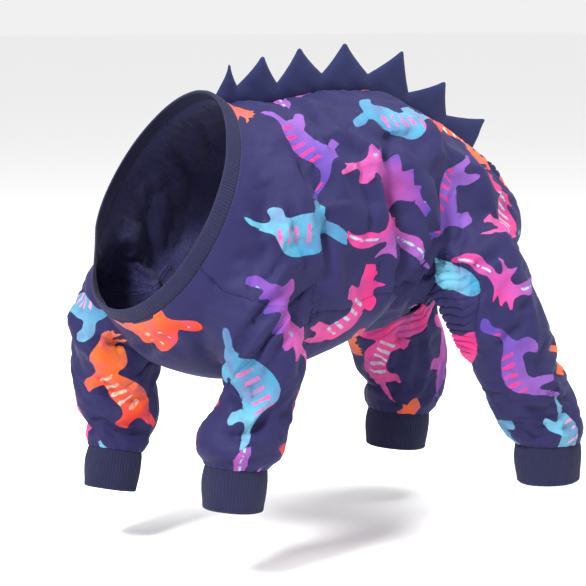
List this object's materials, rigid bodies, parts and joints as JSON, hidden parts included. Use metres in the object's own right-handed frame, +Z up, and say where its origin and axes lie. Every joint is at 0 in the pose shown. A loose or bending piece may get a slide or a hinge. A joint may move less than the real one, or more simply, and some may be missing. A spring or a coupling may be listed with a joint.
{
  "type": "dog jumpsuit",
  "caption": "Four-legged printed jersey suit for a dog, worn form, with rib cuffs and neckband, gathered belly opening and a row of stuffed cloth spikes along the back.",
  "frame": {"origin": "inside of the back seam above the shoulders, where the suit lies on the wearer's back", "axes": "+X towards the wearer's head, +Y towards its left side, +Z up"},
  "size_m": [0.327, 0.2196, 0.303],
  "materials": {
    "printed_jersey": "matte",
    "rib_knit": "matte",
    "ridge_cloth": "matte"
  },
  "bodies": {
    "root": {"neck_band": "rib_knit", "front_sleeve_left": "printed_jersey", "front_sleeve_right": "printed_jersey", "belly_panel": "printed_jersey", "belly_opening_band": "printed_jersey", "side_panel_left": "printed_jersey", "side_panel_right": "printed_jersey", "hind_left_cuff": "rib_knit", "hind_right_cuff": "rib_knit", "front_left_cuff": "rib_knit", "front_right_cuff": "rib_knit", "spine_ridge": "ridge_cloth"}
  },
  "joints": []
}
